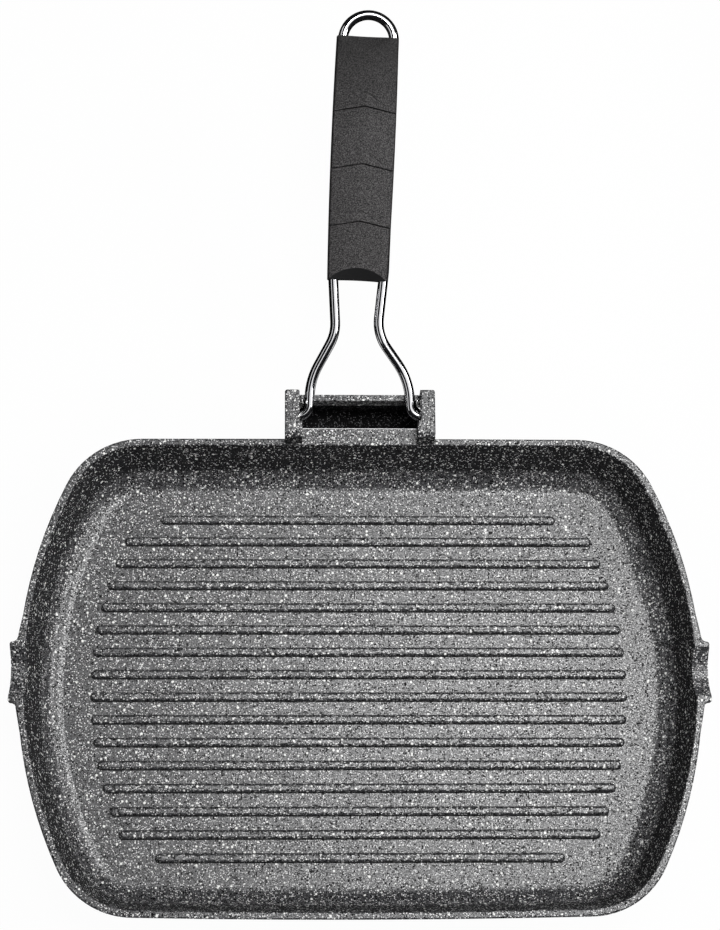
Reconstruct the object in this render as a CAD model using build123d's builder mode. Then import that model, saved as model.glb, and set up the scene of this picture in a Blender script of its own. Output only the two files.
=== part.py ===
from build123d import *
from math import cos, radians, sin, sqrt, tan
import os

# Rectangular grill pan: one aluminium casting with ribs, two spouts and a bracket, and a wire
# handle with a soft sleeve that folds over the pan.
# Millimetres. X runs along the ribs, Y points to the handle, Z is up.
# The origin is the middle of the face that the pan rests on.

# Rim and walls
rim_half_width = 201.2      # middle of a short side, without the spout
near_half_depth = 143.6     # middle of the near long side
far_half_depth = 144.2
corner_x = 160.0            # where the bowed short side and the long side would meet
near_corner_y = 141.5       # the near long side is bowed, the far one almost straight
far_corner_y = 143.9
corner_radius = 49.5
pan_height = 42.0
rim_width = 4.3             # of the long sides
side_rim_width = 3.8
wall_draft = 14.0           # degrees from upright
floor_thickness = 4.5
base_edge_radius = 12.0
inside_edge_radius = 14.0
rim_edge_radius = 0.9

# Ribs on the floor
rib_count = 16
rib_pitch = 13.75
rib_width = 6.35
rib_height = 2.6
rib_draft = 22.0
rib_edge_radius = 1.3
rib_sunk = 0.5              # how far a rib reaches into the floor
rib_field_half_length = 161.4
rib_field_end_radius = 221.0
outer_rib_half_length = 121.0

# Pouring spout in the middle of each short side
channel_half_width = 15.0
channel_depth = 6.0
spout_y = 0.8               # the spouts sit a little off the middle, towards the handle
spout_reach = 4.8           # beyond the rim
spout_hollow = 0.8          # how far the pouring edge is set back between its two lips
spout_wall = 3.2            # metal under the channel
lip_width = 3.1
lip_height = 4.0
lip_tip_radius = 1.5
lip_flare = 2.6
swell_width = 0.2           # of the rim beside the lips
swell_end_y = 44.0
swell_end_inset = 0.9

# Bracket: two ears, a ledge, a pocket and a crossbar
ear_outer_x = 45.1
ear_root_x = 34.4
ear_face_x = 36.3
ear_near_y = 140.6
ear_step_y = 151.3
ear_far_y = 170.6
ear_top = 56.0
ear_crown_radius = 4.0      # between an ear's top and its near face
ear_end_radius = 1.5
ear_edge_radius = 1.0
ledge_far_y = 150.3
pocket_floor = 20.0
pocket_lean = 1.0
bar_near_y = 166.9
bar_bottom = 36.0
bar_top = 45.3
bar_wall_setback = 1.0
bracket_root_z = 8.0
bracket_heel_y = 160.0
bracket_heel_z = 13.0
bracket_toe_z = 20.0
bracket_under_radius = 7.0

# Hinge of the handle
pivot_y = 156.8
pivot_z = 46.0
hinge_clearance = 0.08
pin_end_x = 42.8
pin_hole_end_x = 43.2
mouth_radius = 3.7
mouth_depth = 1.2

# Domed studs beside the legs
stud_y = 163.7
stud_z = 51.0
stud_head_radius = 4.2
stud_head_height = 2.5
stud_shank_radius = 2.5
stud_shank_length = 6.0

# Wire handle, as it stands when it rests on the crossbar
wire_radius = 3.0
handle_rise = 15.0          # degrees above level
hook_x = 30.5
hook_radius = 6.5
shoulder_x = 30.05
shoulder_at = 21.5          # distances along the handle start at the hinge
shoulder_radius = 42.0
kink_half_gap = 12.5
kink_at = 49.8
kink_radius = 26.0
grip_half_gap = 15.5
grip_straight_from = 88.0
grip_bend_radius = 60.0
loop_from = 228.2

# The grip leans a little to the right of the pan's centre line
lean = 2.4                  # degrees
lean_origin_x = -2.05
lean_origin_at = 60.0

# Soft sleeve on the two wires
sleeve_from = 82.0
sleeve_to = 229.5
sleeve_shift = -0.5         # how far across from the middle of the wires it sits
sleeve_near_width = 36.4
sleeve_middle_width = 38.8
sleeve_far_width = 37.7
sleeve_thickness = 13.0
sleeve_side_thickness = 11.2
sleeve_side_bulge = 0.8
sleeve_edge_radius = 0.9
sleeve_fit = 0.03

# Creases, facets and end scoops of the sleeve, the same on both of its faces
crease_places = [117.7, 152.5, 187.4]
crease_arch = 3.8           # how far a crease's middle stands above its ends
crease_width = 0.8
crease_depth = 2.4          # below the crown
facet_lengths = [6.4, 7.9, 8.8]
facet_depth = 0.3           # at the facet's peak
near_scoop_length = 7.0
near_scoop_slope = 37.5     # degrees
far_scoop_length = 7.9
far_scoop_slope = 14.0
clear_height = 8.0          # how far a cut reaches above the crown

cut_margin = 1.0            # how far a cut reaches past the metal or the sleeve

handle_plane = Plane(
    origin=(0, pivot_y, pivot_z),
    x_dir=(1, 0, 0),
    z_dir=(0, -sin(radians(handle_rise)), cos(radians(handle_rise))),
)
hinge_axis = Axis((0, pivot_y, pivot_z), (1, 0, 0))
stud_axis = Axis((0, stud_y, stud_z), (1, 0, 0))


def wall_drawn_in(z):
    """How far the walls have drawn in at height z, against the rim."""
    return (pan_height - z) * tan(radians(wall_draft))


def rim_x(y):
    """The rim's outer edge on a short side, at a distance y from the middle."""
    sagitta = rim_half_width - corner_x
    bow_radius = (sagitta**2 + near_corner_y**2) / (2 * sagitta)
    return rim_half_width - bow_radius + sqrt(bow_radius**2 - y**2)


def rim_face(side_inset=0.0, long_inset=0.0):
    """Outline of the pan at the rim: four shallow arcs with large round corners."""
    corner = corner_x - side_inset
    far_y = far_corner_y - long_inset
    near_y = long_inset - near_corner_y
    middle_x = rim_half_width - side_inset
    with BuildSketch(Plane.XY.offset(pan_height)) as outline:
        with BuildLine():
            far = ThreePointArc((-corner, far_y), (0, far_half_depth - long_inset), (corner, far_y))
            right = ThreePointArc(far @ 1, (middle_x, 0), (corner, near_y))
            near = ThreePointArc(right @ 1, (0, long_inset - near_half_depth), (-corner, near_y))
            ThreePointArc(near @ 1, (-middle_x, 0), far @ 0)
        make_face()
        fillet(outline.vertices(), radius=corner_radius - side_inset)
    return outline.sketch


def make_shell():
    """Floor, walls and rim, before the ribs, spouts and bracket."""
    cavity_depth = pan_height - floor_thickness
    with BuildPart() as shell:
        extrude(rim_face(), amount=-pan_height, taper=wall_draft)
        fillet(shell.faces().sort_by(Axis.Z)[0].edges(), radius=base_edge_radius)
        cavity_face = rim_face(side_rim_width, rim_width)
        extrude(cavity_face, amount=-cavity_depth, taper=wall_draft, mode=Mode.SUBTRACT)
        inside_floor = shell.faces().filter_by(Plane.XY).sort_by(Axis.Z)[1]
        fillet(inside_floor.edges(), radius=inside_edge_radius)
        rim_top = shell.faces().sort_by(Axis.Z)[-1]
        fillet(rim_top.edges(), radius=rim_edge_radius)
    return shell.part


def rib_half_length(y):
    """The ribs end on a bowed line, and the first and the last stop short at the corners."""
    outermost = (rib_count - 1) / 2 * rib_pitch
    if abs(y) > outermost - rib_pitch / 2:
        return outer_rib_half_length
    bow = rib_field_end_radius - sqrt(rib_field_end_radius**2 - y**2)
    return rib_field_half_length - bow


def make_ribs():
    """Parallel ribs with round ends, drafted flanks and soft tops."""
    with BuildPart() as ribs:
        for index in range(rib_count):
            y = (index - (rib_count - 1) / 2) * rib_pitch
            with BuildSketch(Plane.XY.offset(floor_thickness - rib_sunk)) as foot:
                with Locations((0, y)):
                    SlotOverall(2 * rib_half_length(y), rib_width)
            extrude(foot.sketch, amount=rib_height + rib_sunk, taper=rib_draft)
        fillet(ribs.faces().group_by(Axis.Z)[-1].edges(), radius=rib_edge_radius)
    return ribs.part


def make_bracket():
    """The cast bracket on the far long side, before its holes."""
    root_y = far_half_depth - rim_width / 2
    shoulder_z = pan_height - rim_edge_radius
    above_ears = ear_top + cut_margin
    bar_wall_y = bar_near_y + bar_wall_setback
    crown_end_y = ear_near_y + ear_crown_radius + cut_margin
    with BuildPart() as bracket:
        with BuildSketch(Plane.YZ.offset(-ear_outer_x)):
            with BuildLine():
                Polyline(
                    (root_y, shoulder_z),
                    (ear_near_y, shoulder_z),
                    (ear_near_y, ear_top),
                    (ear_far_y, ear_top),
                    (ear_far_y, bracket_toe_z),
                    (bracket_heel_y, bracket_heel_z),
                    (root_y - wall_drawn_in(bracket_root_z), bracket_root_z),
                    close=True,
                )
            make_face()
        extrude(amount=2 * ear_outer_x)
        cross_edges = bracket.edges().filter_by(Axis.X).group_by(Axis.Z)
        fillet(cross_edges[1] + cross_edges[2], radius=bracket_under_radius)
        upper_edges = bracket.edges().filter_by(Axis.X).group_by(Axis.Z)[-1]
        fillet(upper_edges.sort_by(Axis.Y)[0], radius=ear_crown_radius)
        fillet(bracket.edges().filter_by(Axis.Z).group_by(Axis.Y)[-1], radius=ear_end_radius)

        # Between the ear roots: all that stands above the ledge, and the near part of the pocket
        with BuildSketch(Plane.YZ.offset(-ear_root_x)):
            with BuildLine():
                Polyline(
                    (root_y - rim_width, pan_height),
                    (ledge_far_y, pan_height),
                    (ledge_far_y - pocket_lean, pocket_floor),
                    (ear_step_y, pocket_floor),
                    (ear_step_y, above_ears),
                    (root_y - rim_width, above_ears),
                    close=True,
                )
            make_face()
        extrude(amount=2 * ear_root_x, mode=Mode.SUBTRACT)

        # Between the ear faces: the rest of the pocket, and all that stands above the crossbar
        with BuildSketch(Plane.YZ.offset(-ear_face_x)):
            with BuildLine():
                Polyline(
                    (ear_step_y, pocket_floor),
                    (bar_wall_y, pocket_floor),
                    (bar_wall_y, bar_bottom),
                    (bar_near_y, bar_bottom),
                    (bar_near_y, bar_top),
                    (ear_far_y + cut_margin, bar_top),
                    (ear_far_y + cut_margin, above_ears),
                    (ear_step_y, above_ears),
                    close=True,
                )
            make_face()
        extrude(amount=2 * ear_face_x, mode=Mode.SUBTRACT)
        ear_edges = bracket.edges().group_by(Axis.Z)[-1]
        fillet(ear_edges.filter_by_position(Axis.Y, crown_end_y, ear_far_y), radius=ear_edge_radius)
    return bracket.part


def make_spouts():
    """Both spouts as solid blocks with their lips, before the channels are cut."""
    lip_y = channel_half_width + lip_width
    tip_y = lip_y - lip_tip_radius
    foot_y = lip_y + lip_flare
    foot_x = rim_half_width + swell_width
    reach_x = rim_half_width + spout_reach
    inner_x = foot_x - side_rim_width
    lip_under_z = pan_height - lip_height
    under_z = pan_height - channel_depth - spout_wall
    with BuildPart() as spouts:
        with BuildSketch(Plane.XY.offset(pan_height)):
            with BuildLine():
                ThreePointArc((reach_x, tip_y), (reach_x - spout_hollow, 0), (reach_x, -tip_y))
                for half in (1, -1):
                    tip_end = (reach_x - lip_tip_radius, half * lip_y)
                    tip = TangentArc((reach_x, half * tip_y), tip_end, tangent=(0, half))
                    flare = TangentArc(tip @ 1, (foot_x, half * foot_y), tangent=(-1, 0))
                    swell_end = (rim_x(swell_end_y) - swell_end_inset, half * swell_end_y)
                    swell = TangentArc(flare @ 1, swell_end, tangent=flare % 1)
                    Polyline(
                        swell @ 1,
                        (rim_x(swell_end_y) - side_rim_width / 2, half * swell_end_y),
                        (inner_x, half * foot_y),
                    )
                Line((inner_x, foot_y), (inner_x, -foot_y))
            make_face()
        extrude(amount=-(channel_depth + spout_wall + cut_margin))
        top_edges = spouts.edges().group_by(Axis.Z)[-1]
        outer_edges = top_edges.filter_by_position(Axis.X, rim_half_width - rim_width / 2, reach_x)
        fillet(outer_edges, radius=rim_edge_radius)

        # The underside follows the channel, and the lips and the swollen rim are thin
        with BuildSketch(Plane.YZ.offset(corner_x)):
            with BuildLine():
                under = ThreePointArc((-lip_y, lip_under_z), (0, under_z), (lip_y, lip_under_z))
                Polyline(
                    under @ 1,
                    (2 * swell_end_y, lip_under_z),
                    (2 * swell_end_y, under_z - 2 * cut_margin),
                    (-2 * swell_end_y, under_z - 2 * cut_margin),
                    (-2 * swell_end_y, lip_under_z),
                    under @ 0,
                )
            make_face()
        extrude(amount=reach_x - corner_x + cut_margin, mode=Mode.SUBTRACT)
        mirror(about=Plane.YZ)
    return spouts.part.moved(Location((0, spout_y, 0)))


def make_channels():
    """The round-bottomed channels that are cut across both spouts, with soft upper edges."""
    with BuildPart() as channels:
        with BuildSketch(Plane.YZ.offset(rim_half_width - 3 * rim_width)) as profile:
            with BuildLine():
                bottom = ThreePointArc(
                    (-channel_half_width, pan_height),
                    (0, pan_height - channel_depth),
                    (channel_half_width, pan_height),
                )
                Polyline(
                    bottom @ 1,
                    (2 * channel_half_width, pan_height),
                    (2 * channel_half_width, pan_height + channel_depth),
                    (-2 * channel_half_width, pan_height + channel_depth),
                    (-2 * channel_half_width, pan_height),
                    bottom @ 0,
                )
            make_face()
            upper_corners = profile.vertices().filter_by_position(
                Axis.X, -channel_half_width, channel_half_width
            )
            fillet(upper_corners, radius=rim_edge_radius)
        extrude(amount=5 * rim_width)
        mirror(about=Plane.YZ)
    return channels.part.moved(Location((0, spout_y, 0)))


def make_ear_holes():
    """In both ears: the blind hinge hole with its flared mouth, and the hole of the stud."""
    hole_radius = wire_radius + hinge_clearance
    with BuildPart() as holes:
        with BuildSketch(Plane.YZ.offset(ear_face_x)):
            with Locations((pivot_y, pivot_z)):
                Circle(hole_radius)
        extrude(amount=pin_hole_end_x - ear_face_x)
        with BuildSketch(Plane.XZ.offset(-pivot_y)):
            with BuildLine():
                Polyline(
                    (ear_face_x, pivot_z),
                    (ear_face_x, pivot_z + mouth_radius),
                    (ear_face_x + mouth_depth, pivot_z + hole_radius),
                    (ear_face_x + mouth_depth, pivot_z),
                    close=True,
                )
            make_face()
        revolve(axis=hinge_axis)
        with BuildSketch(Plane.YZ.offset(ear_face_x)):
            with Locations((stud_y, stud_z)):
                Circle(stud_shank_radius)
        extrude(amount=stud_shank_length)
        mirror(about=Plane.YZ)
    return holes.part


def make_stud(side):
    """Domed head against the ear's inner face, with a shank pressed into the ear."""
    cap_radius = (stud_head_radius**2 + stud_head_height**2) / (2 * stud_head_height)
    face_x = side * ear_face_x
    shank_x = side * (ear_face_x + stud_shank_length)
    with BuildPart() as stud:
        with BuildSketch(Plane.XZ.offset(-stud_y)):
            with BuildLine():
                dome = RadiusArc(
                    (side * (ear_face_x - stud_head_height), stud_z),
                    (face_x, stud_z + stud_head_radius),
                    radius=side * cap_radius,
                )
                Polyline(
                    dome @ 1,
                    (face_x, stud_z + stud_shank_radius),
                    (shank_x, stud_z + stud_shank_radius),
                    (shank_x, stud_z),
                    dome @ 0,
                )
            make_face()
        revolve(axis=stud_axis)
    return stud.part


def grip_point(across, along):
    """A place on the leaning grip, in the coordinates of the handle's plane."""
    reach = along - lean_origin_at
    turn = radians(lean)
    return (
        lean_origin_x + across * cos(turn) + reach * sin(turn),
        lean_origin_at + reach * cos(turn) - across * sin(turn),
    )


def leg_corners(side):
    """Corners of one half of the wire, from its pin to the start of the loop."""
    return [
        (side * pin_end_x, 0),
        (side * hook_x, 0),
        (side * shoulder_x, shoulder_at),
        (lean_origin_x + side * kink_half_gap, kink_at),
        grip_point(side * grip_half_gap, grip_straight_from),
        grip_point(side * grip_half_gap, loop_from),
    ]


def make_wire(radius):
    """One bent wire: pins, hooks, shoulders and kinks of both legs, and the hanging loop."""
    bends = [hook_radius, shoulder_radius, kink_radius, grip_bend_radius]
    with BuildPart() as wire:
        with BuildLine(handle_plane) as path:
            FilletPolyline(*leg_corners(-1), radius=bends)
            ThreePointArc(
                grip_point(-grip_half_gap, loop_from),
                grip_point(0, loop_from + grip_half_gap),
                grip_point(grip_half_gap, loop_from),
            )
            FilletPolyline(*reversed(leg_corners(1)), radius=bends[::-1])
        start = path.wires()[0]
        with BuildSketch(Plane(origin=start @ 0, z_dir=start % 0)):
            Circle(radius)
        sweep(path=start)
    return wire.part


def sleeve_point(across, along, height):
    """A place on the sleeve: across it, along it, and above the plane of the wires."""
    return handle_plane.from_local_coords((*grip_point(across + sleeve_shift, along), height))


def sleeve_plane(along, height, side):
    """Plane level with the sleeve's face: its X points to the loop, its Z out of that face."""
    middle = sleeve_point(0, along, height)
    return Plane(
        origin=middle,
        x_dir=sleeve_point(0, along + 1, height) - middle,
        z_dir=handle_plane.z_dir * side,
    )


def sleeve_section(along, width):
    """Cross-section of the sleeve: crowned top and bottom, and bulging sides."""
    corner_across = width / 2 - sleeve_side_bulge
    corner_height = sleeve_side_thickness / 2
    crown = sleeve_thickness / 2
    level = sleeve_plane(along, 0, 1)
    with BuildSketch(Plane(origin=level.origin, x_dir=-level.y_dir, z_dir=level.x_dir)) as section:
        with BuildLine():
            top = ThreePointArc(
                (-corner_across, corner_height), (0, crown), (corner_across, corner_height)
            )
            right = ThreePointArc(top @ 1, (width / 2, 0), (corner_across, -corner_height))
            bottom = ThreePointArc(right @ 1, (0, -crown), (-corner_across, -corner_height))
            ThreePointArc(bottom @ 1, (-width / 2, 0), top @ 0)
        make_face()
    return section.sketch


def make_facet_half(crease, length, side, hand):
    """One half of a facet: it starts level at its crease and is deepest under its peak."""
    crown = sleeve_thickness / 2
    middle = sleeve_point(0, crease, side * crown)
    peak = sleeve_point(0, crease + length, side * (crown - facet_depth))
    end = sleeve_point(
        hand * sleeve_middle_width / 2, crease - crease_arch, side * sleeve_side_thickness / 2
    )
    outward = (end - middle).cross(peak - middle) * (side * hand)
    surface = Plane(origin=middle, x_dir=peak - middle, z_dir=outward)
    peak_spot = surface.to_local_coords(peak)
    end_spot = surface.to_local_coords(end)
    with BuildPart() as half:
        with BuildSketch(surface):
            with BuildLine():
                Polyline((0, 0), (peak_spot.X, peak_spot.Y), (end_spot.X, end_spot.Y), close=True)
            make_face()
        extrude(amount=clear_height, dir=handle_plane.z_dir * side)
    return half.part


def make_crease(crease, side):
    """The narrow groove along a crease, highest in the middle of the sleeve."""
    half = sleeve_middle_width / 2 + cut_margin
    drop = crease_arch * half / (sleeve_middle_width / 2)
    height = side * (sleeve_thickness / 2 - crease_depth)
    with BuildPart() as groove:
        with BuildSketch(sleeve_plane(crease, height, side)):
            with BuildLine():
                Polyline(
                    (-drop, -half),
                    (0, 0),
                    (-drop, half),
                    (-drop - crease_width, half),
                    (-crease_width, 0),
                    (-drop - crease_width, -half),
                    close=True,
                )
            make_face()
        extrude(amount=clear_height)
    return groove.part


def make_scoop(end, length, slope, side, inward):
    """Cone that leaves a scoop at one end: an arc from edge to edge on a sloping face."""
    half = sleeve_near_width / 2 + sleeve_edge_radius
    arc_radius = (half**2 + length**2) / (2 * length)
    rise = tan(radians(slope))
    depth = length * rise + cut_margin
    foot = sleeve_plane(end + inward * (length - arc_radius), side * (sleeve_thickness / 2 - depth), side)
    with BuildPart(foot) as scoop:
        Cone(
            bottom_radius=arc_radius - depth / rise,
            top_radius=arc_radius + clear_height / rise,
            height=depth + clear_height,
            align=(Align.CENTER, Align.CENTER, Align.MIN),
        )
    return scoop.part


def make_sleeve_cuts():
    """All that the creases, facets and scoops take off the two faces of the sleeve."""
    with BuildPart() as cuts:
        for side in (1, -1):
            for crease, length in zip(crease_places, facet_lengths):
                for hand in (1, -1):
                    add(make_facet_half(crease, length, side, hand))
                add(make_crease(crease, side))
            add(make_scoop(sleeve_from, near_scoop_length, near_scoop_slope, side, 1))
            add(make_scoop(sleeve_to, far_scoop_length, far_scoop_slope, side, -1))
    return cuts.part


os.makedirs("parts", exist_ok=True)

# The pan: one casting
with BuildPart() as pan_body:
    add(make_shell())
    add(make_ribs())
    add(make_bracket())
    add(make_spouts())
    add(make_channels(), mode=Mode.SUBTRACT)
    add(make_ear_holes(), mode=Mode.SUBTRACT)
pan_body.part.label = "pan_body"
export_step(pan_body.part, "parts/pan_body.step")

# The bent wire of the handle
with BuildPart() as wire_handle:
    add(make_wire(wire_radius))
wire_handle.part.label = "wire_handle"
export_step(wire_handle.part, "parts/wire_handle.step")

# The sleeve, moulded round both wires
with BuildPart() as grip_sleeve:
    loft([
        sleeve_section(sleeve_from, sleeve_near_width),
        sleeve_section((sleeve_from + sleeve_to) / 2, sleeve_middle_width),
        sleeve_section(sleeve_to, sleeve_far_width),
    ])
    long_edges = grip_sleeve.edges().filter_by(lambda edge: edge.length > (sleeve_to - sleeve_from) / 2)
    fillet(long_edges, radius=sleeve_edge_radius)
    add(make_sleeve_cuts(), mode=Mode.SUBTRACT)
    add(make_wire(wire_radius + sleeve_fit), mode=Mode.SUBTRACT)
grip_sleeve.part.label = "grip_sleeve"
export_step(grip_sleeve.part, "parts/grip_sleeve.step")

# The two studs
for name, side in (("left_stud", -1), ("right_stud", 1)):
    with BuildPart() as stud:
        add(make_stud(side))
    stud.part.label = name
    export_step(stud.part, f"parts/{name}.step")
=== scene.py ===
import math

import bpy
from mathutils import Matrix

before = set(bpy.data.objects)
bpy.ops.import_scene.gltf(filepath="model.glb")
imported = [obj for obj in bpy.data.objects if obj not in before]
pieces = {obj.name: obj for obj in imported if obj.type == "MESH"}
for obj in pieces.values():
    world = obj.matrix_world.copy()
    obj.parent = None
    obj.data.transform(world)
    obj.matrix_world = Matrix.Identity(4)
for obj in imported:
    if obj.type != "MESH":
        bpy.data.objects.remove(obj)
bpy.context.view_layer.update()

MM = 0.001


# Camera
# Stands almost straight above the pan, a little in front of it and looking slightly towards the handle.
# The long side of the picture is 930 points, and the lens gives 2500 points to the radian.
picture_height_points = 930
focal_points = 2500
camera_place_mm = (-42.94, -311.25, 1478.51)
camera_tilt, camera_swing, camera_roll = 16.977, -1.642, 0.135

bpy.ops.object.camera_add(location=[MM * v for v in camera_place_mm])
camera = bpy.context.object
camera.name = "camera"
camera.rotation_mode = "ZYX"
camera.rotation_euler = [math.radians(a) for a in (camera_tilt, camera_swing, camera_roll)]
camera.data.lens = camera.data.sensor_width * focal_points / picture_height_points
bpy.context.scene.camera = camera


# Studio
# A white table under a large soft lamp with a hot middle, a lamp to the right and a fill in front that no
# gloss shows. Black cards round the set keep the steep faces dark. Only gloss shows the dark room, the pale
# card on the left and the black felt on the table.
table_size = 8.0
backdrop_share = 0.97        # of the table's look that is plain white, the rest takes the shadow
room_light = 0.25            # strength of the white room for what it lights, and 1 for what looks at it
lamps = (
    # name, place, size, watts
    ("overhead_lamp", (0.78, 0.50, 2.2), (1.64, 2.0), 13.0),
    ("overhead_middle", (0.30, 0.41, 2.15), (0.86, 0.42), 13.8),
    ("right_lamp", (1.75, 0.25, 1.45), (1.2, 0.6), 17.0),
    ("front_fill", (0.1, -1.5, 1.3), (1.2, 0.8), 10.0),
)
cards = (
    # name, middle, size along the table, height, turn about Z
    ("left_card", (-0.36, 0.1), 1.3, 0.30, 90),
    ("right_card", (0.36, 0.1), 1.3, 0.14, 90),
    ("front_card", (0.0, -0.50), 1.3, 0.35, 0),
    ("back_card", (0.0, 0.75), 1.3, 0.25, 0),
)
card_colour, table_colour = "#141414", "#f4f4f4"
room_colour, pale_card_colour, felt_colour = "#202022", "#fcfcfc", "#060606"
dark_room_radius = 3.6
pale_card_x, pale_card_y, pale_card_length = -1.2, 0.3, 1.8
pale_card_low, pale_card_high = 0.35, 1.45
felt_middle, felt_size = (0.0, 0.49, 0.002), (1.2, 0.62)


def linear(code):
    """An sRGB hex colour as the linear RGBA that the shaders take."""
    channels = [int(code[i:i + 2], 16) / 255 for i in (1, 3, 5)]
    return [c / 12.92 if c <= 0.04045 else ((c + 0.055) / 1.055) ** 2.4 for c in channels] + [1.0]


def add_node(tree, kind, inputs=None, **settings):
    """Adds a node, sets its settings, and links or sets its inputs by name or number."""
    made = tree.nodes.new(kind)
    for name, value in settings.items():
        setattr(made, name, value)
    for key, value in (inputs or {}).items():
        if isinstance(value, bpy.types.NodeSocket):
            tree.links.new(value, made.inputs[key])
        else:
            made.inputs[key].default_value = value
    return made


def new_material(name):
    """An empty node material and its tree."""
    made = bpy.data.materials.new(name)
    made.use_nodes = True
    made.node_tree.nodes.clear()
    return made, made.node_tree


def white_for_looks(tree):
    """1 for what the camera, a mirror or a clear piece looks at, 0 for the light that falls on things."""
    path = add_node(tree, "ShaderNodeLightPath")
    looks = path.outputs["Is Camera Ray"]
    for kind in ("Is Glossy Ray", "Is Transmission Ray"):
        both = add_node(tree, "ShaderNodeMath", {0: looks, 1: path.outputs[kind]}, operation="MAXIMUM")
        looks = both.outputs[0]
    return looks


bpy.ops.mesh.primitive_plane_add(size=table_size)
table = bpy.context.object
table.name = "table"
table_white, tree = new_material("white_table_top")
looks = white_for_looks(tree)
share = add_node(tree, "ShaderNodeMath", {0: looks, 1: backdrop_share}, operation="MULTIPLY")
lit = add_node(tree, "ShaderNodeBsdfDiffuse", {"Color": linear(table_colour)})
plain = add_node(tree, "ShaderNodeEmission", {"Color": linear("#ffffff"), "Strength": 1.0})
mixed = add_node(tree, "ShaderNodeMixShader", {0: share.outputs[0], 1: lit.outputs[0], 2: plain.outputs[0]})
add_node(tree, "ShaderNodeOutputMaterial", {"Surface": mixed.outputs[0]})
table.data.materials.append(table_white)

world = bpy.data.worlds.new("white_room")
bpy.context.scene.world = world
world.use_nodes = True
tree = world.node_tree
tree.nodes.clear()
looks = white_for_looks(tree)
strength = add_node(tree, "ShaderNodeMapRange", {"Value": looks, "To Min": room_light, "To Max": 1.0})
room = add_node(tree, "ShaderNodeBackground", {"Color": linear("#ffffff"), "Strength": strength.outputs[0]})
add_node(tree, "ShaderNodeOutputWorld", {"Surface": room.outputs[0]})

for name, place, size, watts in lamps:
    bpy.ops.object.light_add(type="AREA", location=place)
    lamp = bpy.context.object
    lamp.name = name
    lamp.data.shape = "RECTANGLE"
    lamp.data.size, lamp.data.size_y = size
    lamp.data.energy = watts
    lamp.visible_camera = False
    lamp.visible_glossy = name != "front_fill"
    aim = -lamp.location.project((0, 0, 1)) if name.startswith("overhead") else -lamp.location
    lamp.rotation_euler = aim.to_track_quat("-Z", "Y").to_euler()

card_black, tree = new_material("black_card")
dull = add_node(tree, "ShaderNodeBsdfDiffuse", {"Color": linear(card_colour)})
add_node(tree, "ShaderNodeOutputMaterial", {"Surface": dull.outputs[0]})
for name, (x, y), length, height, turn in cards:
    bpy.ops.mesh.primitive_plane_add(size=1, location=(x, y, height / 2),
                                     rotation=(math.radians(90), 0, math.radians(turn)))
    card = bpy.context.object
    card.name = name
    card.scale = (length, height, 1)
    card.visible_camera = False
    card.data.materials.append(card_black)


def seen_in_gloss_only(prop, name, code):
    """Names a studio prop, gives it one plain colour, and hides it from all but reflections."""
    prop.name = name
    prop.visible_camera = prop.visible_diffuse = prop.visible_shadow = prop.visible_transmission = False
    finish, tree = new_material(name)
    glow = add_node(tree, "ShaderNodeEmission", {"Color": linear(code), "Strength": 1.0})
    add_node(tree, "ShaderNodeOutputMaterial", {"Surface": glow.outputs[0]})
    prop.data.materials.append(finish)


bpy.ops.mesh.primitive_uv_sphere_add(radius=dark_room_radius)
seen_in_gloss_only(bpy.context.object, "dark_room", room_colour)
pale_card_z = (pale_card_low + pale_card_high) / 2
bpy.ops.mesh.primitive_plane_add(size=1, location=(pale_card_x, pale_card_y, pale_card_z),
                                 rotation=(0, math.radians(90), 0))
bpy.context.object.scale = (pale_card_high - pale_card_low, pale_card_length, 1)
seen_in_gloss_only(bpy.context.object, "pale_card", pale_card_colour)
bpy.ops.mesh.primitive_plane_add(size=1, location=felt_middle)
bpy.context.object.scale = (*felt_size, 1)
seen_in_gloss_only(bpy.context.object, "black_felt", felt_colour)


# Pan
# One aluminium casting, sprayed and baked with a non-stick coating: a dark satin film filled with white and
# black mineral flakes, which looks like speckled stone. The bracket's pocket is painted near black, as
# painted shade, and the ledge's sharp edge is rubbed bare.
film_dark, film_light = "#101011", "#4c4c4f"
film_grain_low, film_grain_high = 0.35, 0.65         # of the noise, for the darkest and lightest spots
film_grain = 0.75            # drawn coarse enough to show, where such a film's grain is typically finer
film_roughness = (0.42, 0.30)        # in the grain's dark and in its light spots
film_gloss = (0.2, 0.9)
film_ior = 1.7               # of a resin film full of mineral

small_flake, large_flake, fleck_and_painted_shade_black = "#f4f4f4", "#f8f8f5", "#080809"
small_flake_spacing, large_flake_spacing, fleck_spacing = 0.9, 2.6, 1.15
small_flake_radius, large_flake_radius, fleck_radius = 0.50, 0.34, 0.60      # largest ones, in cells
small_flake_gaps, large_flake_gaps, fleck_gaps = 0.2, 0.45, 0.25             # share of bare cells
flake_raggedness, rag_grain = 0.7, 0.6       # how far a flake's edge strays, and over what length
flake_edge_from, flake_edge_to = -0.02, 0.05         # over which a flake's edge fades in, in cells
fleck_roughness, fleck_gloss = 0.8, 0.1
relief_height, relief_strength, grain_relief = 0.07, 0.8, 0.35

# The spray comes from above, so the steep walls catch fewer flakes and dry to a rougher film, and the
# narrow flanks of the ribs hold no flakes at all. The steep faces are also painted darker, as painted shade.
steep_from, steep_to = 0.55, 0.30            # upward part of the surface's normal
steep_flake_gaps, steep_painted_shade = 0.52, 0.47
steep_roughness, steep_gloss = 0.85, 0.12
pan_near_y, pan_far_y, pan_end_margin = -200.0, 145.0, 1.0
rib_top_z, rib_top_margin = 6.9, 0.3
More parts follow.
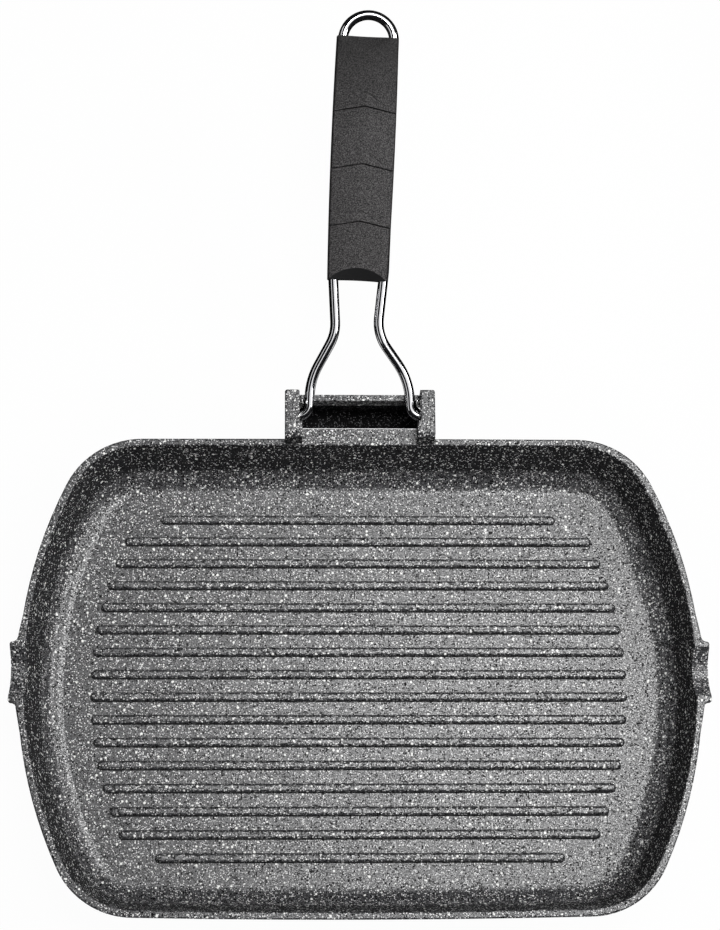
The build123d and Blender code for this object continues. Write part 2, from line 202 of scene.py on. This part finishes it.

# The pocket is painted near black with dim flakes as painted shade and left dull; the bare edge is plain
# metal
pocket_painted_shade_dark, pocket_painted_shade_flake = "#0a0a0b", "#6e6e70"
pocket_roughness, pocket_gloss = 0.9, 0.1
pocket_near_y, pocket_far_y, pocket_half_width, pocket_top_z = 150.35, 168.5, 37.0, 36.2
pocket_fade = 1.2            # over which the pocket's painted shade fades out at its top
rubbed_metal, rubbed_roughness = "#d8d8da", 0.35
ledge_edge_y, ledge_edge_half_width = 150.3, 0.2
ledge_edge_low_z, ledge_edge_high_z = 41.5, 43.0
ledge_edge_half_length, ledge_end_margin = 34.2, 0.5
sharp_margin = 0.1           # of the pocket's and the bare edge's other borders

coating, tree = new_material("stone_effect_non_stick_coating")
coordinates = add_node(tree, "ShaderNodeTexCoord")
place, facing = coordinates.outputs["Object"], coordinates.outputs["Normal"]
upward = add_node(tree, "ShaderNodeSeparateXYZ", {0: facing}).outputs[2]
axes = add_node(tree, "ShaderNodeSeparateXYZ", {0: place})
ragged = add_node(tree, "ShaderNodeTexNoise", {"Vector": place, "Scale": 1000 / rag_grain, "Detail": 1.0})
centred = add_node(tree, "ShaderNodeVectorMath", {0: ragged.outputs["Color"], 1: (0.5, 0.5, 0.5)},
                   operation="SUBTRACT")
shifted = add_node(tree, "ShaderNodeVectorMath", {0: centred.outputs[0], "Scale": flake_raggedness * MM},
                   operation="SCALE")
strayed = add_node(tree, "ShaderNodeVectorMath", {0: place, 1: shifted.outputs[0]}, operation="ADD")


def flakes(spacing, gaps, largest):
    """1 inside flakes and 0 outside: one flake to a cell, some cells bare, the radius in cells."""
    cell = add_node(tree, "ShaderNodeTexVoronoi", {"Vector": strayed.outputs[0], "Scale": 1000 / spacing})
    chance = add_node(tree, "ShaderNodeSeparateColor", {0: cell.outputs["Color"]}).outputs[0]
    radius = add_node(tree, "ShaderNodeMapRange", {"Value": chance, "From Min": gaps,
                                                   "To Min": 0.0, "To Max": largest}).outputs[0]
    inside = add_node(tree, "ShaderNodeMath", {0: radius, 1: cell.outputs["Distance"]}, operation="SUBTRACT")
    return add_node(tree, "ShaderNodeMapRange", {"Value": inside.outputs[0],
                                                 "From Min": flake_edge_from,
                                                 "From Max": flake_edge_to}).outputs[0]


def within(limits):
    """1 inside a box and 0 outside: each axis's low end, high end and soft margin in millimetres."""
    share = 1.0
    for axis, (low, high, soft) in limits.items():
        at = axes.outputs[axis]
        above = add_node(tree, "ShaderNodeMapRange", {"Value": at, "From Min": MM * (low - soft),
                                                      "From Max": MM * low})
        below = add_node(tree, "ShaderNodeMapRange", {"Value": at, "From Min": MM * high,
                                                      "From Max": MM * (high + soft), "To Min": 1.0,
                                                      "To Max": 0.0})
        for edge in (above, below):
            share = add_node(tree, "ShaderNodeMath", {0: share, 1: edge.outputs[0]},
                             operation="MULTIPLY").outputs[0]
    return share


tilted = add_node(tree, "ShaderNodeMapRange", {"Value": upward, "From Min": steep_from,
                                               "From Max": steep_to}).outputs[0]
inside_pan = within({"Y": (pan_near_y, pan_far_y, pan_end_margin)})
steep = add_node(tree, "ShaderNodeMath", {0: tilted, 1: inside_pan}, operation="MULTIPLY").outputs[0]
below_rib_top = within({"Z": (0.0, rib_top_z, rib_top_margin)})
flank = add_node(tree, "ShaderNodeMath", {0: steep, 1: below_rib_top}, operation="MULTIPLY").outputs[0]
off_flank = add_node(tree, "ShaderNodeMath", {0: 1.0, 1: flank}, operation="SUBTRACT").outputs[0]
gaps = add_node(tree, "ShaderNodeMapRange", {"Value": steep, "To Min": small_flake_gaps,
                                             "To Max": steep_flake_gaps}).outputs[0]
small = flakes(small_flake_spacing, gaps, small_flake_radius)
small = add_node(tree, "ShaderNodeMath", {0: small, 1: off_flank}, operation="MULTIPLY").outputs[0]
large = flakes(large_flake_spacing, large_flake_gaps, large_flake_radius)
large = add_node(tree, "ShaderNodeMath", {0: large, 1: off_flank}, operation="MULTIPLY").outputs[0]
black = flakes(fleck_spacing, fleck_gaps, fleck_radius)
# Steep faces are mixed towards black: painted shade
painted_shade = add_node(tree, "ShaderNodeMath", {0: steep, 1: steep_painted_shade}, operation="MULTIPLY").outputs[0]
# Where the pocket's painted shade goes
painted_shade_pocket = within({
    "X": (-pocket_half_width, pocket_half_width, sharp_margin),
    "Y": (pocket_near_y, pocket_far_y, sharp_margin),
    "Z": (0.0, pocket_top_z - pocket_fade, pocket_fade),
})
bare = within({
    "X": (-ledge_edge_half_length, ledge_edge_half_length, ledge_end_margin),
    "Y": (ledge_edge_y - ledge_edge_half_width, ledge_edge_y + ledge_edge_half_width, sharp_margin),
    "Z": (ledge_edge_low_z, ledge_edge_high_z, sharp_margin),
})

grain = add_node(tree, "ShaderNodeTexNoise", {"Vector": place, "Scale": 1000 / film_grain, "Detail": 2.0})
light_spot = add_node(tree, "ShaderNodeMapRange", {"Value": grain.outputs[0],
                                                   "From Min": film_grain_low,
                                                   "From Max": film_grain_high}).outputs[0]
# The pocket's painted shade: near black with dim flakes
pocket_painted_shade = add_node(tree, "ShaderNodeMix", {0: small, 6: linear(pocket_painted_shade_dark), 7: linear(pocket_painted_shade_flake)},
                       data_type="RGBA").outputs[2]
film = linear(film_dark)
for share, over in ((light_spot, linear(film_light)), (black, linear(fleck_and_painted_shade_black)),
                    (painted_shade, linear(fleck_and_painted_shade_black)), (small, linear(small_flake)),
                    (large, linear(large_flake)), (painted_shade_pocket, pocket_painted_shade), (bare, linear(rubbed_metal))):
    film = add_node(tree, "ShaderNodeMix", {0: share, 6: film, 7: over}, data_type="RGBA").outputs[2]
satin = film_roughness[0]
for share, over in ((light_spot, film_roughness[1]), (black, fleck_roughness), (steep, steep_roughness),
                    (painted_shade_pocket, pocket_roughness), (bare, rubbed_roughness)):
    satin = add_node(tree, "ShaderNodeMix", {0: share, 2: satin, 3: over}).outputs[0]
gloss = film_gloss[0]
for share, over in ((light_spot, film_gloss[1]), (black, fleck_gloss), (steep, steep_gloss),
                    (painted_shade_pocket, pocket_gloss)):
    gloss = add_node(tree, "ShaderNodeMix", {0: share, 2: gloss, 3: over}).outputs[0]

white = add_node(tree, "ShaderNodeMath", {0: small, 1: large}, operation="MAXIMUM").outputs[0]
relief = add_node(tree, "ShaderNodeMath", {0: grain.outputs[0], 1: grain_relief, 2: white},
                  operation="MULTIPLY_ADD").outputs[0]
bump = add_node(tree, "ShaderNodeBump", {"Strength": relief_strength, "Distance": relief_height * MM,
                                         "Height": relief})
surface = add_node(tree, "ShaderNodeBsdfPrincipled", {
    "Base Color": film, "Metallic": bare, "Roughness": satin, "Normal": bump.outputs[0], "IOR": film_ior,
    "Specular IOR Level": gloss,
})
add_node(tree, "ShaderNodeOutputMaterial", {"Surface": surface.outputs[0]})
pieces["pan_body"].material_slots[0].material = coating


# Wire handle
# One 6 mm steel wire, bent to two legs and a loop, and sprung into the bracket's ears. It is polished and
# bright nickel-chrome plated after bending, which gives a mirror with a faint haze.
# The plating's edges are tinted dark at grazing angles: a painted dark reflection
chrome, chrome_painted_dark_edge = "#d2d2d4", "#202022"
plating_roughness = (0.05, 0.12)
haze_patch = 2.5

plating, tree = new_material("bright_chrome_plated_wire")
place = add_node(tree, "ShaderNodeTexCoord").outputs["Object"]
haze = add_node(tree, "ShaderNodeTexNoise", {"Vector": place, "Scale": 1000 / haze_patch, "Detail": 3.0})
polish = add_node(tree, "ShaderNodeMapRange", {"Value": haze.outputs[0], "To Min": plating_roughness[0],
                                               "To Max": plating_roughness[1]})
surface = add_node(tree, "ShaderNodeBsdfPrincipled", {
    "Base Color": linear(chrome), "Metallic": 1.0, "Roughness": polish.outputs[0],
    # Dark edge tint: a painted dark reflection
    "Specular Tint": linear(chrome_painted_dark_edge),
})
add_node(tree, "ShaderNodeOutputMaterial", {"Surface": surface.outputs[0]})
pieces["wire_handle"].material_slots[0].material = plating


# Sleeve
# Silicone rubber moulded round the wires: dark and matte, with the coarse spark-eroded grain of its mould.
# The outer third is painted darker, as painted shade, and is rougher than the rest. The steep scoop at the
# pan's end, picked by which way it faces, is painted near black as painted shade and is rougher still.
silicone_dark_and_painted_shade, silicone_light, scoop_painted_shade_black = "#040404", "#524f50", "#1b1b1c"
silicone_ior = 1.43
mould_grain = 0.62           # drawn coarse enough to show, where such a grain is typically finer
mould_relief, mould_relief_strength = 0.04, 0.55
grain_low, grain_high = 0.41, 0.67           # of the noise, for the darkest and lightest spots
rubber_roughness = (0.66, 0.36)              # in the grain's dark and in its light spots
dull_from_y, dull_to_y = 322.0, 372.0
far_end_painted_shade, dull_roughness = 0.5, 0.66
scoop_from, scoop_to = -0.60, -0.72          # part of the surface's normal along y
scoop_roughness = 0.7

silicone, tree = new_material("moulded_silicone_rubber")
coordinates = add_node(tree, "ShaderNodeTexCoord")
place, facing = coordinates.outputs["Object"], coordinates.outputs["Normal"]
eroded = add_node(tree, "ShaderNodeTexNoise", {"Vector": place, "Scale": 1000 / mould_grain, "Detail": 2.0})
tone = add_node(tree, "ShaderNodeMapRange", {"Value": eroded.outputs[0], "From Min": grain_low,
                                             "From Max": grain_high}).outputs[0]
along = add_node(tree, "ShaderNodeSeparateXYZ", {0: place}).outputs[1]
# Over the far third the rubber is rougher and painted darker, as painted shade
dull = add_node(tree, "ShaderNodeMapRange", {"Value": along, "From Min": MM * dull_from_y,
                                             "From Max": MM * dull_to_y}).outputs[0]
painted_shade = add_node(tree, "ShaderNodeMath", {0: dull, 1: far_end_painted_shade}, operation="MULTIPLY").outputs[0]
# The scoop at the pan's end, found by which way it faces, is painted near black: painted shade
towards_pan = add_node(tree, "ShaderNodeSeparateXYZ", {0: facing}).outputs[1]
painted_shade_scoop = add_node(tree, "ShaderNodeMapRange", {"Value": towards_pan, "From Min": scoop_from,
                                              "From Max": scoop_to}).outputs[0]
rubber = linear(silicone_dark_and_painted_shade)
for share, over in ((tone, silicone_light), (painted_shade, silicone_dark_and_painted_shade), (painted_shade_scoop, scoop_painted_shade_black)):
    rubber = add_node(tree, "ShaderNodeMix", {0: share, 6: rubber, 7: linear(over)},
                      data_type="RGBA").outputs[2]
matte = rubber_roughness[0]
for share, over in ((tone, rubber_roughness[1]), (dull, dull_roughness), (painted_shade_scoop, scoop_roughness)):
    matte = add_node(tree, "ShaderNodeMix", {0: share, 2: matte, 3: over}).outputs[0]
bump = add_node(tree, "ShaderNodeBump", {"Strength": mould_relief_strength, "Distance": mould_relief * MM,
                                         "Height": eroded.outputs[0]})
surface = add_node(tree, "ShaderNodeBsdfPrincipled", {
    "Base Color": rubber, "Roughness": matte, "Normal": bump.outputs[0], "IOR": silicone_ior,
})
add_node(tree, "ShaderNodeOutputMaterial", {"Surface": surface.outputs[0]})
pieces["grip_sleeve"].material_slots[0].material = silicone


# Studs
# Two plain steel rivets pressed into the ears beside the wire. Their low domed heads are tumbled bright,
# which leaves a soft, slightly uneven shine.
stud_steel = "#dcdcda"
stud_roughness = (0.12, 0.24)
tumbled_patch = 1.5

steel, tree = new_material("tumbled_steel")
place = add_node(tree, "ShaderNodeTexCoord").outputs["Object"]
tumbled = add_node(tree, "ShaderNodeTexNoise", {"Vector": place, "Scale": 1000 / tumbled_patch,
                                                "Detail": 2.0})
polish = add_node(tree, "ShaderNodeMapRange", {"Value": tumbled.outputs[0], "To Min": stud_roughness[0],
                                               "To Max": stud_roughness[1]})
surface = add_node(tree, "ShaderNodeBsdfPrincipled", {
    "Base Color": linear(stud_steel), "Metallic": 1.0, "Roughness": polish.outputs[0],
})
add_node(tree, "ShaderNodeOutputMaterial", {"Surface": surface.outputs[0]})
for name in ("left_stud", "right_stud"):
    pieces[name].material_slots[0].material = steel

bpy.context.scene.view_settings.view_transform = "Standard"
